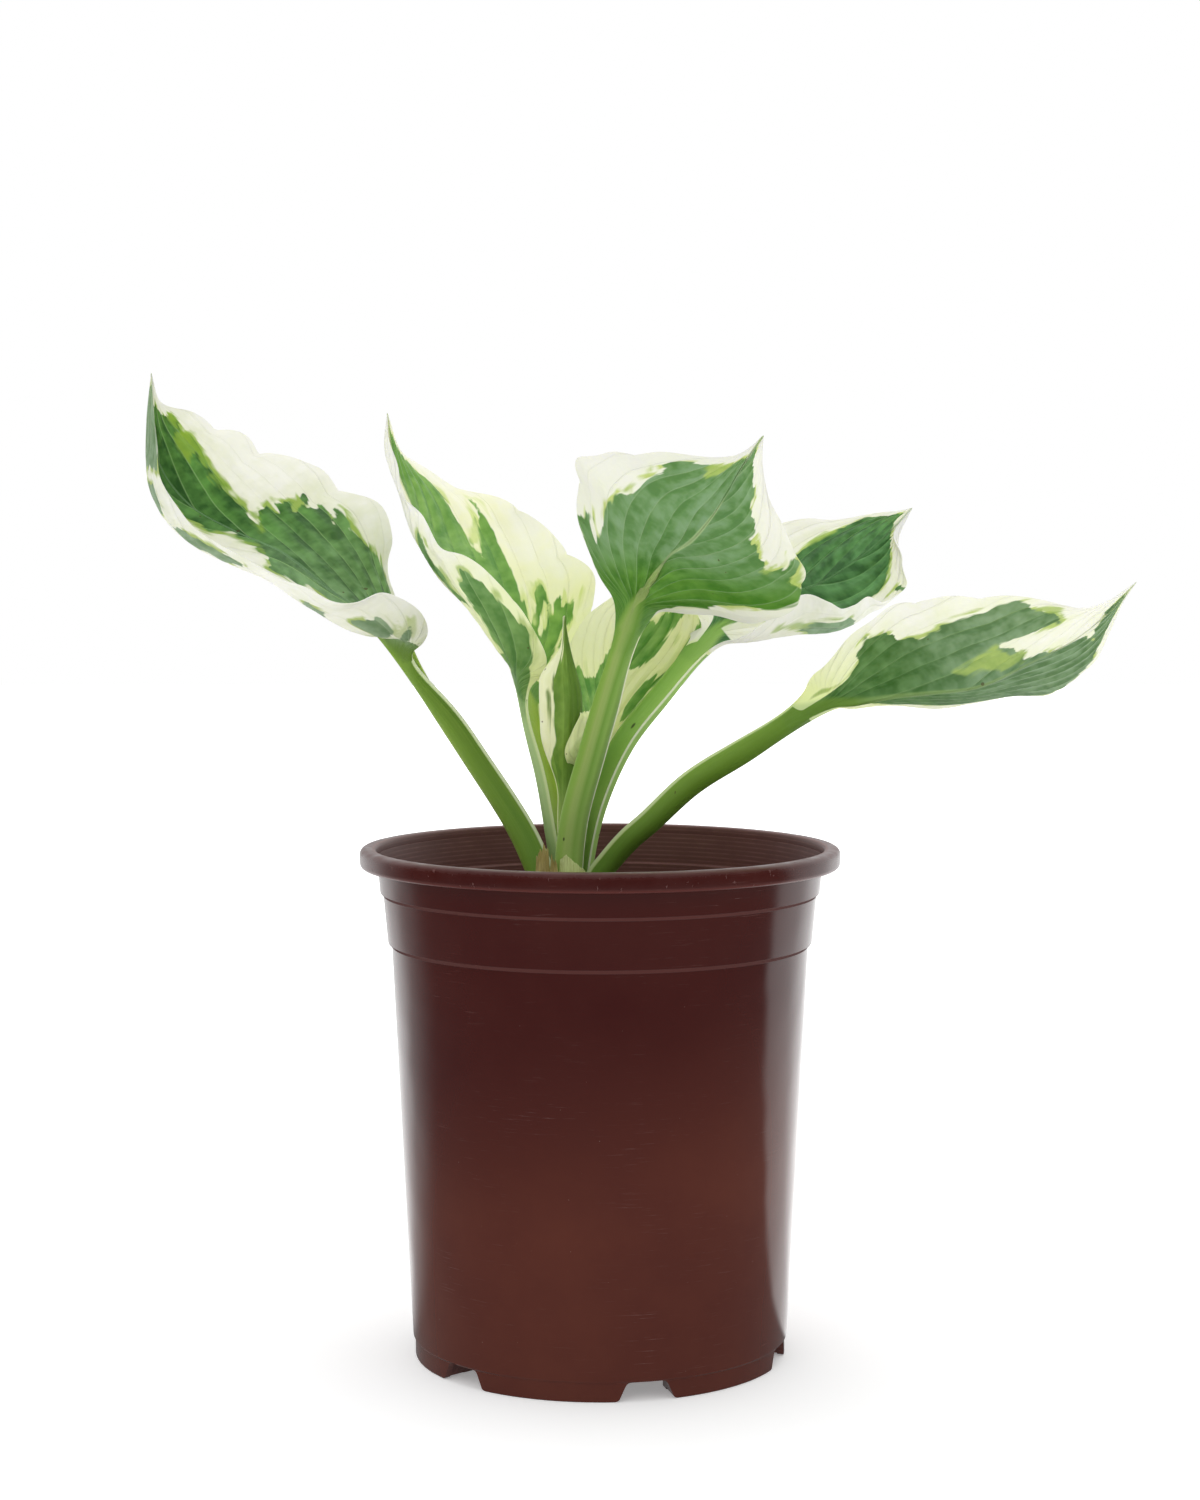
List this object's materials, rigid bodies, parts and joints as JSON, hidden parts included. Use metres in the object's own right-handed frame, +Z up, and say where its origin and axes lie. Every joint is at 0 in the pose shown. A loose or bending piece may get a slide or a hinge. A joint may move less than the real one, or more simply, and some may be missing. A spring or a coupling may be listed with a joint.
{
  "type": "potted hosta plant",
  "caption": "Young hosta with broad cream-edged leaves on arching channelled stalks, growing from a low crown in a filled round nursery pot with a notched foot.",
  "frame": {"origin": "on the surface the pot stands on, under the middle of the pot, which is also the middle of the plant's spread", "axes": "+Z up along the pot's axis; -Y is the front, where the two leaves with their undersides showing lean out; +X to the viewer's right"},
  "size_m": [0.3027, 0.1801, 0.311],
  "materials": {
    "pot_plastic": "semi-gloss moulded polypropylene, lightly scuffed and dusty",
    "potting_mix": "matt crumbly bark and peat",
    "crown": "matt, fleshy",
    "dry_scale": "matt, papery",
    "green_scale": "matt, thin and translucent",
    "leaf": "satin upper face, waxy underside, cream margin",
    "young_leaf": "satin, soft and pale"
  },
  "bodies": {
    "root": {"pot": "pot_plastic", "potting_mix": "potting_mix", "crown": "crown", "scale_1": "dry_scale", "scale_2": "green_scale", "scale_3": "dry_scale", "leaf_1": "leaf", "leaf_2": "leaf", "leaf_3": "leaf", "leaf_4": "leaf", "leaf_5": "leaf", "leaf_6": "young_leaf", "leaf_7": "young_leaf"}
  },
  "joints": []
}
